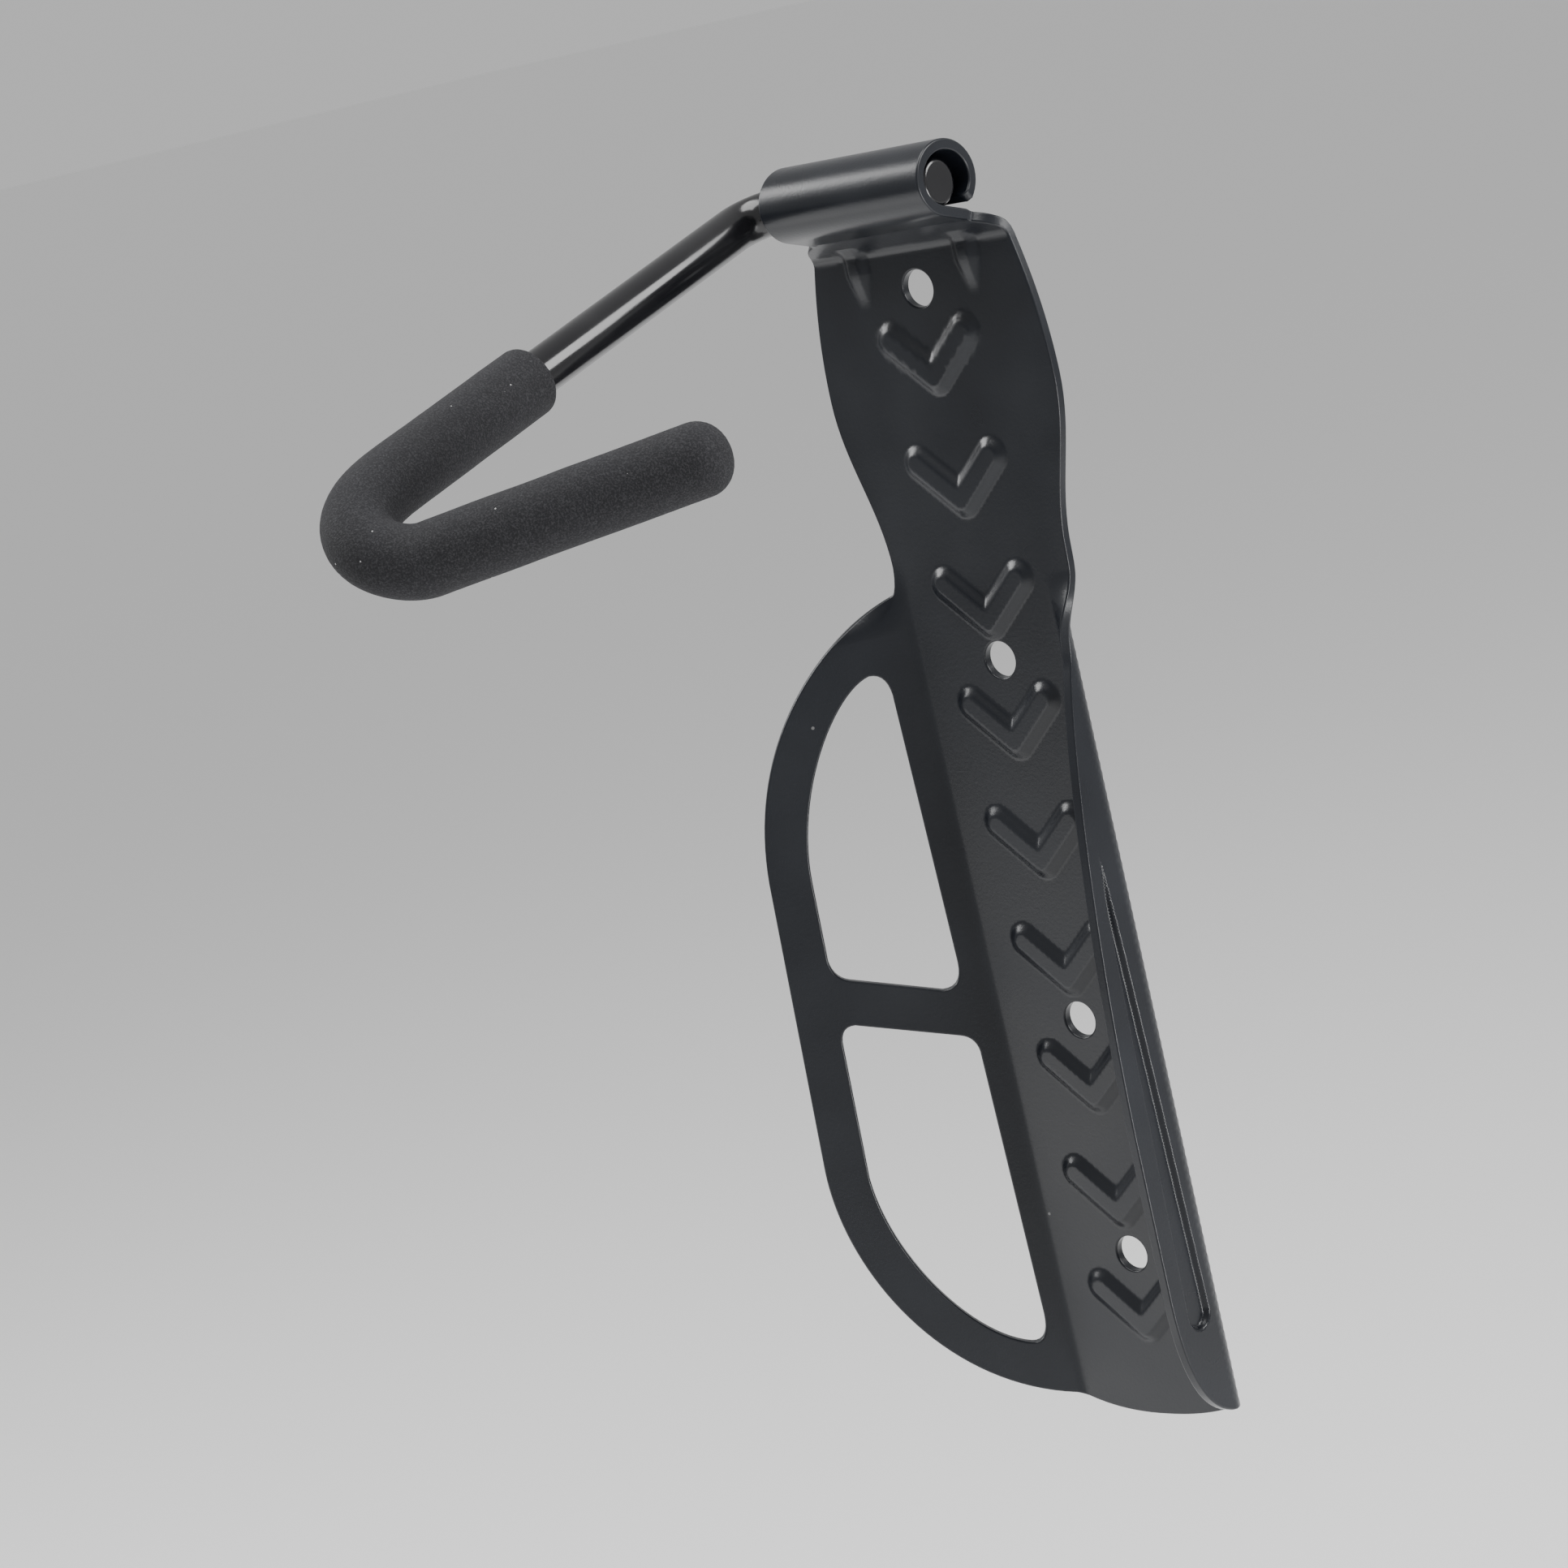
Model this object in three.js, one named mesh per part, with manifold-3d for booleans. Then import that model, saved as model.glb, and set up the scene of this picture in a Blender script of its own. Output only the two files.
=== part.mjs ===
// A wall rack that hangs a bicycle by one wheel: a stamped steel backplate that screws to the
// wall, with a rolled barrel along its top edge, a bent steel rod that turns in the barrel, and
// a foam sleeve over the rod's hook.
//
// Frame, in millimetres: the origin is the middle of the top screw hole in the plane of the wall,
// +X is to the right as seen from the room, +Y goes into the wall and +Z is up. Inside this file
// depths are measured from the plate's front face, and the whole rack is moved forward at the
// end so that the plate's back lies on the wall at Y = 0.

import * as THREE from "three";
import { mergeVertices } from "three/addons/utils/BufferGeometryUtils.js";
import Module from "manifold-3d";

const wasm = await Module();
wasm.setup();

// ---------------------------------------------------------------- driving dimensions

const SHEET = 2.4; // thickness of the backplate's steel
const ROOM = 60; // further than any cut has to reach

const HOLE_RADIUS = 4.1;
const HOLE_HEIGHTS = [0, -82.5, -165, -220];

// Shield-shaped upper plate, half-widths at its main heights.
const SHOULDER = { half: 27.6, z: 8 };
const WIDEST = { half: 31.5, z: -22 };
const WAIST = { half: 24.5, z: -57 };
const WINGS_TOP = -66;
const PLATE_FOOT = -258.4;
const CORNER_FOOT = -254;

// Chevrons pressed forward out of the plate.
const CHEVRON = {
  count: 9,
  pitch: 27.2,
  firstTip: -23.9,
  angle: THREE.MathUtils.degToRad(42),
  reach: 10.2, // from the middle to the centre of an arm's round end
  radius: 3.3, // half of an arm's width at the sheet
  flank: 1.1, // how much narrower the raised top is on each side
  rise: 1.6,
};

// Left wing: folded forward by LEFT_FOLD.turn about a line parallel to Z.
const LEFT_FOLD = { apex: -22.5, turn: THREE.MathUtils.degToRad(42), inner: 4 };

// Right flange: folded forward square to the plate.
const RIGHT_FOLD = { face: 22, outer: 5, top: -70 };
const BEAD = { top: -127, foot: -233.5, forward: 8, half: 3.5, depth: 1.3, flank: 0.9 };

// Neck and barrel, as a profile in the Y-Z plane.
const TAB_HALF = 22.4;
const NECK_TURN = THREE.MathUtils.degToRad(62); // first bend, out of the plate's plane
const TAIL_TURN = THREE.MathUtils.degToRad(74); // second bend, into the barrel's tail
const NECK_FOOT = { y: 0, z: 7.6 };
const NECK_RADIUS = 3; // of the first bend's inner face
const CREASE = { y: -5.9, z: 13.2 };
const BARREL = { y: -9.5, z: 22.9, ry: 9.8, rz: 8.2 }; // outer face of the rolled barrel
const BARREL_END = THREE.MathUtils.degToRad(322); // where the roll stops, from its lowest point

// Small gussets that stiffen the bend under the neck.
const GUSSET = { x: 15.3, half: 1.9, foot: -0.5, top: 11.2, rise: 3.4 };

// Hook: a round rod whose straight pin lies in the barrel.
const ROD_RADIUS = 4.9;
const PIN = { y: -10, z: 22.3, right: 19.4, left: -24 };
const LEG = { x: -32.2, slope: THREE.MathUtils.degToRad(13.9), length: 125 };
const RETURN_BEND = { in: 26, out: 8 }; // lengths of its Bezier handles
const TIP_LEG = {
  start: new THREE.Vector3(-13.2, -144.5, -22.1),
  azimuth: THREE.MathUtils.degToRad(35),
  rise: THREE.MathUtils.degToRad(7.9),
  length: 56,
};
const SLEEVE = { radius: 7.6, start: 80.5, gap: 0.3, dome: 7 };
const TIP_WALL = 6; // foam beyond the rod's end, inside the dome's start

const STEEL = { color: 0x2b2e33, roughness: 0.38, metalness: 0.35 };
const ROD_BLACK = { color: 0x1b1c1f, roughness: 0.25, metalness: 0.4 };
const FOAM = { color: 0x3a3b3e, roughness: 0.95, metalness: 0 };

// ---------------------------------------------------------------- solids

/** A closed manifold-3d solid from a three.js geometry. */
function solid(geometry) {
  const bare = geometry.index ? geometry.toNonIndexed() : geometry.clone();
  bare.deleteAttribute("normal");
  bare.deleteAttribute("uv");
  const merged = mergeVertices(bare, 1e-4);
  const mesh = new wasm.Mesh({
    numProp: 3,
    vertProperties: new Float32Array(merged.attributes.position.array),
    triVerts: new Uint32Array(merged.index.array),
  });
  return new wasm.Manifold(mesh);
}

/** A three.js geometry from a manifold-3d solid. */
function geometryOf(manifold) {
  const mesh = manifold.getMesh();
  const geometry = new THREE.BufferGeometry();
  geometry.setAttribute("position", new THREE.BufferAttribute(mesh.vertProperties, 3));
  geometry.setIndex(new THREE.BufferAttribute(mesh.triVerts, 1));
  geometry.computeVertexNormals();
  return geometry;
}

/** A shape extruded by depth, with its own X, Y and Z laid along three directions from a point. */
function slab(shape, depth, origin, along, up, curveSegments = 10) {
  const geometry = new THREE.ExtrudeGeometry(shape, { depth, curveSegments, bevelEnabled: false });
  const out = new THREE.Vector3().crossVectors(along, up);
  const place = new THREE.Matrix4().makeBasis(along, up, out).setPosition(origin);
  return solid(geometry.applyMatrix4(place));
}

const X = new THREE.Vector3(1, 0, 0);
const Y = new THREE.Vector3(0, 1, 0);
const Z = new THREE.Vector3(0, 0, 1);

/** A shape drawn in X-Z and extruded toward -Y from the plane at y. */
function frontSlab(shape, y, depth, curveSegments) {
  return slab(shape, depth, new THREE.Vector3(0, y, 0), X, Z, curveSegments);
}

/** A shape drawn in Y-Z and extruded toward +X from the plane at x. */
function sideSlab(shape, x, depth, curveSegments) {
  return slab(shape, depth, new THREE.Vector3(x, 0, 0), Y, Z, curveSegments);
}

/** An upright box between two corners, in the order X, Y, Z. */
function block(low, high) {
  const size = high.map((value, axis) => value - low[axis]);
  const middle = high.map((value, axis) => (value + low[axis]) / 2);
  return solid(new THREE.BoxGeometry(...size).translate(...middle));
}

/** A solid between two outlines with the same number of points, one above the other. */
function loft(lower, upper, place) {
  const count = lower.length;
  const positions = [];
  const corner = (point, height) => place(point.x, point.y, height);
  const face = (a, b, c) => positions.push(...a, ...b, ...c);
  for (let i = 0; i < count; i += 1) {
    const next = (i + 1) % count;
    face(corner(lower[i], 0), corner(lower[next], 0), corner(upper[next], 1));
    face(corner(lower[i], 0), corner(upper[next], 1), corner(upper[i], 1));
  }
  for (const [a, b, c] of THREE.ShapeUtils.triangulateShape(upper, [])) {
    face(corner(upper[a], 1), corner(upper[b], 1), corner(upper[c], 1));
    face(corner(lower[c], 0), corner(lower[b], 0), corner(lower[a], 0));
  }
  const geometry = new THREE.BufferGeometry();
  geometry.setAttribute("position", new THREE.Float32BufferAttribute(positions, 3));
  return solid(geometry);
}

// ---------------------------------------------------------------- backplate outlines

/** The plate seen from the front, down to where the wings start, with the tab above it. */
function upperOutline() {
  const shape = new THREE.Shape();
  shape.moveTo(TAB_HALF, ROOM);
  shape.lineTo(-TAB_HALF, ROOM);
  shape.lineTo(-TAB_HALF, 12.6);
  shape.quadraticCurveTo(-26.6, 12.2, -SHOULDER.half, SHOULDER.z);
  shape.bezierCurveTo(-29.6, 0, -WIDEST.half, -10, -WIDEST.half, WIDEST.z);
  shape.bezierCurveTo(-WIDEST.half, -36, -WAIST.half, -50, -WAIST.half, WAIST.z);
  shape.lineTo(-WAIST.half, WINGS_TOP);
  shape.lineTo(0, WINGS_TOP);
  shape.lineTo(0, RIGHT_FOLD.top - 7);
  shape.lineTo(19, RIGHT_FOLD.top - 7);
  shape.quadraticCurveTo(24.3, RIGHT_FOLD.top - 2, WAIST.half, WINGS_TOP);
  shape.lineTo(WAIST.half, WAIST.z);
  shape.bezierCurveTo(WAIST.half, -50, WIDEST.half, -36, WIDEST.half, WIDEST.z);
  shape.bezierCurveTo(WIDEST.half, -10, 29.6, 0, SHOULDER.half, SHOULDER.z);
  shape.quadraticCurveTo(26.6, 12.2, TAB_HALF, 12.6);
  return shape;
}

/** The flat strip between the two folds, with its shallow curved foot. */
function lowerOutline(left, right) {
  const shape = new THREE.Shape();
  shape.moveTo(right, WINGS_TOP);
  shape.lineTo(left, WINGS_TOP);
  shape.lineTo(left, CORNER_FOOT);
  shape.quadraticCurveTo(0, 2 * PLATE_FOOT - CORNER_FOOT, right, CORNER_FOOT);
  return shape;
}

/** The left wing in its own plane: x runs out from the fold's apex, y is the height. */
function wingOutline(start) {
  const shape = new THREE.Shape();
  shape.moveTo(start, CORNER_FOOT);
  shape.bezierCurveTo(31, -246, 47, -214, 46.2, -190);
  shape.lineTo(43.7, -123);
  shape.bezierCurveTo(42, -92, 22, -72, start, WINGS_TOP);
  const upper = new THREE.Path();
  upper.moveTo(11.8, -82.2);
  upper.bezierCurveTo(20, -84, 33.6, -104, 34.2, -125);
  upper.lineTo(34.8, -142);
  upper.quadraticCurveTo(34.8, -147, 31, -148.4);
  upper.lineTo(12.5, -155);
  upper.quadraticCurveTo(6.6, -156.6, 6.6, -150);
  upper.lineTo(7.5, -89);
  upper.quadraticCurveTo(7.5, -82.2, 11.8, -82.2);
  const lower = new THREE.Path();
  lower.moveTo(9.6, -166.4);
  lower.lineTo(31, -159);
  lower.quadraticCurveTo(35.7, -157.6, 35.7, -163);
  lower.lineTo(36.7, -192);
  lower.bezierCurveTo(37, -212, 22, -236, 9, -240);
  lower.quadraticCurveTo(5.1, -241, 5.1, -234.3);
  lower.lineTo(6, -172);
  lower.quadraticCurveTo(6, -167.6, 9.6, -166.4);
  shape.holes.push(upper, lower);
  return shape;
}

/** The right flange seen from the side: x is Y, y is the height. */
function flangeOutline() {
  const start = SHEET - RIGHT_FOLD.outer;
  const shape = new THREE.Shape();
  shape.moveTo(start, -83);
  shape.bezierCurveTo(-9, -100, -15.5, -140, -16.4, -185);
  shape.lineTo(-16.6, -225);
  shape.quadraticCurveTo(-16, -250, start, -255);
  return shape;
}

/** A bend's cross-section: the part of a ring between two angles, about a centre. */
function bendSection(centre, inner, outer, from, to) {
  const shape = new THREE.Shape();
  shape.absarc(centre.x, centre.y, outer, from, to, to < from);
  shape.absarc(centre.x, centre.y, inner, to, from, to > from);
  return shape;
}

// ---------------------------------------------------------------- backplate features

/** Half of a chevron's outline at a given half-width of its arms, mirrored into a whole one. */
function chevronPoints(radius) {
  const { angle, reach } = CHEVRON;
  const vertex = radius / Math.cos(angle);
  const end = new THREE.Vector2(reach, reach * Math.tan(angle));
  const half = [new THREE.Vector2(0.9, -vertex + 0.9 * Math.tan(angle) - 0.3)];
  const segments = 4;
  for (let i = 0; i <= segments; i += 1) {
    const turn = angle - Math.PI / 2 + (Math.PI * i) / segments;
    half.push(new THREE.Vector2(end.x + radius * Math.cos(turn), end.y + radius * Math.sin(turn)));
  }
  const mirrored = half.map((point) => new THREE.Vector2(-point.x, point.y)).reverse();
  return [...half, new THREE.Vector2(0, vertex), ...mirrored];
}

/** A chevron's raised body, from base to base - rise along Y, with its flanks drawn in. */
function chevronBody(tip, radius, base, rise) {
  const height = tip + CHEVRON.radius / Math.cos(CHEVRON.angle);
  const place = (x, z, level) => [x, base - rise * level, height + z];
  return loft(chevronPoints(radius), chevronPoints(radius - CHEVRON.flank), place);
}

/** The long bead's outline, forward and up: a round foot that tapers to a point at the top. */
function beadPoints(inset) {
  const half = BEAD.half - inset;
  const foot = BEAD.foot + BEAD.half;
  const segments = 6;
  const points = [new THREE.Vector2(BEAD.forward, BEAD.top - 4 * inset)];
  for (let i = 0; i <= segments; i += 1) {
    const turn = Math.PI + (Math.PI * i) / segments;
    const along = BEAD.forward + half * Math.cos(turn);
    points.push(new THREE.Vector2(along, foot + half * Math.sin(turn)));
  }
  return points;
}

/** The neck and barrel's cross-section in Y-Z: the tab's mid-line with half a sheet each side. */
function neckAndBarrelOutline() {
  const front = [];
  const back = [];
  const add = (y, z, turn) => {
    // turn is the angle of the tab's direction from straight up, toward -Y.
    front.push(new THREE.Vector2(y, z));
    back.push(new THREE.Vector2(y + SHEET * Math.cos(turn), z + SHEET * Math.sin(turn)));
  };
  add(NECK_FOOT.y, NECK_FOOT.z - SHEET, 0);
  add(NECK_FOOT.y, NECK_FOOT.z, 0);
  const bendSteps = 5;
  for (let i = 1; i <= bendSteps; i += 1) {
    const turn = (NECK_TURN * i) / bendSteps;
    const y = NECK_FOOT.y - NECK_RADIUS * (1 - Math.cos(turn));
    add(y, NECK_FOOT.z + NECK_RADIUS * Math.sin(turn), turn);
  }
  add(CREASE.y, CREASE.z, (NECK_TURN + TAIL_TURN) / 2);
  const rollSteps = 30;
  const start = Math.PI / 2 - TAIL_TURN;
  for (let i = 0; i <= rollSteps; i += 1) {
    const angle = start + ((BARREL_END - start) * i) / rollSteps;
    const y = -Math.sin(angle);
    const z = -Math.cos(angle);
    front.push(new THREE.Vector2(BARREL.y + BARREL.ry * y, BARREL.z + BARREL.rz * z));
    back.push(new THREE.Vector2(BARREL.y + (BARREL.ry - SHEET) * y, BARREL.z + (BARREL.rz - SHEET) * z));
  }
  return new THREE.Shape([...front, ...back.reverse()]);
}

/** A gusset across the neck's bend: a ridge that fades out down the plate. */
function gusset(x) {
  const lower = [
    new THREE.Vector2(0.4, GUSSET.foot),
    new THREE.Vector2(0.4, GUSSET.top),
    new THREE.Vector2(-GUSSET.rise, GUSSET.top),
  ];
  return sideSlab(new THREE.Shape(lower), x - GUSSET.half, 2 * GUSSET.half);
}

// ---------------------------------------------------------------- backplate

function backplate() {
  const bendOuter = LEFT_FOLD.inner + SHEET;
  const tangent = LEFT_FOLD.inner * Math.tan(LEFT_FOLD.turn / 2);
  const left = LEFT_FOLD.apex + tangent;
  const right = RIGHT_FOLD.face - RIGHT_FOLD.outer;

  let plate = frontSlab(upperOutline(), SHEET, SHEET, 12);
  plate = plate.intersect(block([-ROOM, -ROOM, -2 * ROOM], [ROOM, ROOM, NECK_FOOT.z]));
  plate = plate.add(frontSlab(lowerOutline(left, right), SHEET, SHEET, 12));

  // Neck, shoulders and barrel: one profile, cut to the outline seen from the front.
  const span = 2 * SHOULDER.half + 4;
  const roll = sideSlab(neckAndBarrelOutline(), -span / 2, span);
  plate = plate.add(roll.intersect(frontSlab(upperOutline(), ROOM, 2 * ROOM, 12)));
  for (const side of [-1, 1]) plate = plate.add(gusset(side * GUSSET.x));

  // Left wing and its fold.
  const out = new THREE.Vector3(-Math.cos(LEFT_FOLD.turn), -Math.sin(LEFT_FOLD.turn), 0);
  const apex = new THREE.Vector3(LEFT_FOLD.apex, 0, 0);
  plate = plate.add(slab(wingOutline(tangent), SHEET, apex, out, Z, 8));
  const leftBend = bendSection(
    new THREE.Vector2(left, -LEFT_FOLD.inner),
    LEFT_FOLD.inner,
    bendOuter,
    Math.PI / 2,
    Math.PI / 2 + LEFT_FOLD.turn,
  );
  const foot = new THREE.Vector3(0, 0, CORNER_FOOT);
  plate = plate.add(slab(leftBend, WINGS_TOP - CORNER_FOOT, foot, X, Y, 5));

  // Right flange and its fold, whose top runs out into the plate's edge.
  const rightBend = bendSection(
    new THREE.Vector2(right, SHEET - RIGHT_FOLD.outer),
    RIGHT_FOLD.outer - SHEET,
    RIGHT_FOLD.outer,
    0,
    Math.PI / 2,
  );
  const ramp = new THREE.Shape();
  ramp.moveTo(ROOM, RIGHT_FOLD.top + 1);
  ramp.lineTo(SHEET + 0.5, RIGHT_FOLD.top + 1);
  ramp.lineTo(SHEET - RIGHT_FOLD.outer, -83);
  ramp.lineTo(-ROOM, -83);
  ramp.lineTo(-ROOM, -255);
  ramp.lineTo(ROOM, CORNER_FOOT);
  let flange = slab(rightBend, WINGS_TOP + 255, new THREE.Vector3(0, 0, -255), X, Y, 5);
  flange = flange.intersect(sideSlab(ramp, 0, ROOM));
  flange = flange.add(sideSlab(flangeOutline(), RIGHT_FOLD.face - SHEET, SHEET, 10));
  flange = flange.add(beadSolid(0, RIGHT_FOLD.face - SHEET));
  flange = flange.subtract(beadSolid(0.6, RIGHT_FOLD.face));
  plate = plate.add(flange);

  // Chevrons: raised on the front, hollow behind.
  for (let i = 0; i < CHEVRON.count; i += 1) {
    const tip = CHEVRON.firstTip - CHEVRON.pitch * i;
    plate = plate.add(chevronBody(tip, CHEVRON.radius, 0, CHEVRON.rise));
    plate = plate.subtract(chevronBody(tip, CHEVRON.radius - 0.7, SHEET, CHEVRON.rise));
  }

  for (const height of HOLE_HEIGHTS) {
    const drill = new THREE.CylinderGeometry(HOLE_RADIUS, HOLE_RADIUS, ROOM, 24);
    plate = plate.subtract(solid(drill.translate(0, 0, height)));
  }
  return plate;
}

/** The bead's body, pressed toward -X from its outline on the plane at x. */
function beadSolid(inset, x) {
  const place = (forward, z, level) => [x - BEAD.depth * level, -forward, z];
  return loft(beadPoints(inset), beadPoints(inset + BEAD.flank), place);
}

// ---------------------------------------------------------------- hook

const legWay = new THREE.Vector3(0, -Math.cos(LEG.slope), -Math.sin(LEG.slope));
const tipWay = new THREE.Vector3(
  Math.cos(TIP_LEG.azimuth) * Math.cos(TIP_LEG.rise),
  Math.sin(TIP_LEG.azimuth) * Math.cos(TIP_LEG.rise),
  Math.sin(TIP_LEG.rise),
);

/** A point on the near leg, at a distance from the pin's axis. */
function onLeg(distance) {
  return new THREE.Vector3(LEG.x, PIN.y, PIN.z).addScaledVector(legWay, distance);
}

/** A point on the tip leg, at a distance from the end of the return bend. */
function onTip(distance) {
  return TIP_LEG.start.clone().addScaledVector(tipWay, distance);
}

/** The return bend between the near leg and the tip leg. */
function returnBend() {
  const start = onLeg(LEG.length);
  const end = TIP_LEG.start;
  const leave = start.clone().addScaledVector(legWay, RETURN_BEND.in);
  const arrive = end.clone().addScaledVector(tipWay, -RETURN_BEND.out);
  return new THREE.CubicBezierCurve3(start, leave, arrive, end);
}

/** The rod's centre line: pin, corner, near leg, return bend and tip leg. */
function rodCurve() {
  const corner = PIN.left - LEG.x;
  const handle = 0.5523 * corner; // makes the Bezier curve a quarter circle
  const pinEnd = new THREE.Vector3(PIN.left, PIN.y, PIN.z);
  const cornerIn = pinEnd.clone().addScaledVector(X, -handle);
  const curve = new THREE.CurvePath();
  curve.add(new THREE.LineCurve3(new THREE.Vector3(PIN.right, PIN.y, PIN.z), pinEnd));
  curve.add(new THREE.CubicBezierCurve3(pinEnd, cornerIn, onLeg(corner - handle), onLeg(corner)));
  curve.add(new THREE.LineCurve3(onLeg(corner), onLeg(LEG.length)));
  curve.add(returnBend());
  curve.add(new THREE.LineCurve3(TIP_LEG.start, onTip(TIP_LEG.length - TIP_WALL)));
  return curve;
}

/** The sleeve's centre line, from a distance along the near leg to one along the tip leg. */
function sleeveCurve(start, end) {
  const curve = new THREE.CurvePath();
  curve.add(new THREE.LineCurve3(onLeg(start), onLeg(LEG.length)));
  curve.add(returnBend());
  curve.add(new THREE.LineCurve3(TIP_LEG.start, onTip(end)));
  return curve;
}

/** A round bar along a curve. */
function bar(curve, radius, steps) {
  const section = new THREE.Shape();
  section.absarc(0, 0, radius, 0, 2 * Math.PI);
  return solid(new THREE.ExtrudeGeometry(section, { steps, extrudePath: curve, curveSegments: 7 }));
}

function hookRod() {
  return bar(rodCurve(), ROD_RADIUS, 66);
}

function foamSleeve() {
  const body = bar(sleeveCurve(SLEEVE.start, TIP_LEG.length), SLEEVE.radius, 34);
  const reach = TIP_LEG.length - TIP_WALL + SLEEVE.gap;
  const bore = bar(sleeveCurve(SLEEVE.start - 2, reach), ROD_RADIUS + SLEEVE.gap, 36);
  const ball = new THREE.SphereGeometry(SLEEVE.radius, 14, 8);
  const turn = new THREE.Quaternion().setFromUnitVectors(Y, tipWay);
  const flatten = new THREE.Vector3(1, SLEEVE.dome / SLEEVE.radius, 1);
  const place = new THREE.Matrix4().compose(onTip(TIP_LEG.length), turn, flatten);
  return body.add(solid(ball.applyMatrix4(place))).subtract(bore);
}

// ---------------------------------------------------------------- scene graph

const rack = new THREE.Group();
rack.position.y = -SHEET;

function part(name, manifold, look) {
  const mesh = new THREE.Mesh(geometryOf(manifold), new THREE.MeshStandardMaterial(look));
  mesh.name = name;
  rack.add(mesh);
}

part("backplate", backplate(), STEEL);
part("hook_rod", hookRod(), ROD_BLACK);
part("foam_sleeve", foamSleeve(), FOAM);

export default rack;
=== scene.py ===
"""A bicycle wall rack: pressed steel backplate with a rolled barrel, a bent hook rod in the barrel,
and a foam sleeve over the hook.

Lengths in the class fields are millimetres, measured from the plate's front face at the top screw
hole. The plate's back lies on the wall at Y = 0, and every mesh is written out in metres.
"""

import logging
import math
from dataclasses import dataclass, field
from enum import Enum

import bmesh
import bpy
import numpy as np
from bpy.types import (
    AreaLight,
    Camera,
    GeometryNodeTree,
    Material,
    Mesh,
    Node,
    NodeSocket,
    NodeTree,
    Object,
    ShaderNodeTree,
)
from mathutils import Matrix, Vector, geometry, noise

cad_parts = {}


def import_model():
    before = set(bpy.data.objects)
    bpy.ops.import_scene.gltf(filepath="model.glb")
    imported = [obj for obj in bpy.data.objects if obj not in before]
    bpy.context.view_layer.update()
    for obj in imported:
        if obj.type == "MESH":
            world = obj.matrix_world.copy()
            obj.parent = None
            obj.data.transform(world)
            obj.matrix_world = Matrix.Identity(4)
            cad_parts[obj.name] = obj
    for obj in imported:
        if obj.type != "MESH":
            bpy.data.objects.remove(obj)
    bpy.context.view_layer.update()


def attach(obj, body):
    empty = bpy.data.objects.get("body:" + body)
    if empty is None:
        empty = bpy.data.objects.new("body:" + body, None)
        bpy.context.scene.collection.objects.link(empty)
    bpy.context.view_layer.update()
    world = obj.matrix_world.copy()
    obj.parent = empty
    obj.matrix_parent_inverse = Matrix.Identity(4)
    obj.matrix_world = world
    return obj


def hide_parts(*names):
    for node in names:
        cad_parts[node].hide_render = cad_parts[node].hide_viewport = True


LOG = logging.getLogger("wall_rack")
MM = 0.001  # one millimetre, in metres
SHEET = 2.4  # thickness of the backplate's steel
SAME_POINT = 1e-6  # outline points closer than this are one, in millimetres
JOIN_GAP = 1e-5  # the same for the blank's mesh, in millimetres
MERGE_GAP = 1e-6  # the same for a finished mesh, in metres
THIN_EDGE = 1e-7  # edges shorter than this are dissolved, in metres
SHARP_FOLD = math.radians(40)  # faces that meet at more than this keep a sharp edge
TONE_LOW = 0.3  # span of the slow noise that drives tone and roughness
TONE_HIGH = 0.7
TOPS_LOW = 0.45  # span of the fine noise over which the grain's tops lighten
TOPS_HIGH = 0.75
COAT_ROUGHNESS = 0.12
Array = np.ndarray
Point = tuple[float, ...]
Station = tuple[Array, Array, Array, float, bool]
Colour = tuple[float, float, float]
Wire = tuple[Node, str, Node, str]
FIBRE_TONE: Colour = (0.35, 0.35, 0.37)


class Body(Enum):
    """The moving bodies of the rack."""

    PLATE = "plate"
    HOOK = "hook"


class Slot(Enum):
    """The record's material slots."""

    PLATE_STEEL = "plate_steel"
    ROD_STEEL = "rod_steel"
    SLEEVE_FOAM = "sleeve_foam"


# ---------------------------------------------------------------- small tools


def smooth_step(low: float, high: float, value: Array) -> Array:
    """A smooth 0 to 1 ramp.

    Args:
        low: Where the ramp starts.
        high: Where the ramp ends; it may be below low.
        value: The values to ramp.

    Returns:
        The ramp's value at each entry.
    """
    share = np.clip((value - low) / (high - low), 0.0, 1.0)
    return share * share * (3.0 - 2.0 * share)


def bezier(points: list[Point] | list[Array], steps: int) -> list[Point]:
    """Points on a quadratic or cubic Bezier curve, without its first point.

    Args:
        points: Three or four control points.
        steps: How many points to return.

    Returns:
        The points after the first, in order.
    """
    degree = len(points) - 1
    control = np.array(points, float)
    shares = np.arange(1, steps + 1) / steps
    weights = [math.comb(degree, i) * (1 - shares) ** (degree - i) * shares**i for i in range(degree + 1)]
    curve = sum(weight[:, None] * control[i] for i, weight in enumerate(weights))
    return [tuple(place) for place in curve.tolist()]


def line(start: Point, end: Point, pitch: float) -> list[Point]:
    """Points along a straight stretch, without its first point.

    Args:
        start: Where it starts.
        end: Where it ends.
        pitch: The largest distance between points.

    Returns:
        The points after the first, in order.
    """
    length = math.dist(start, end)
    count = max(1, round(length / pitch))
    return [
        (start[0] + (end[0] - start[0]) * i / count, start[1] + (end[1] - start[1]) * i / count)
        for i in range(1, count + 1)
    ]


def resample(loop: list[Point], pitch: float) -> Array:
    """A closed outline's points, joined by stretches no longer than pitch.

    Args:
        loop: The outline's points in order; the last joins the first.
        pitch: The largest distance between points.

    Returns:
        The points as an array.
    """
    out: list[Point] = []
    for start, end in zip(loop, loop[1:] + loop[:1]):
        if math.dist(start, end) > SAME_POINT:
            out.extend(line(start, end, pitch))
    return np.array(out)


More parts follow.
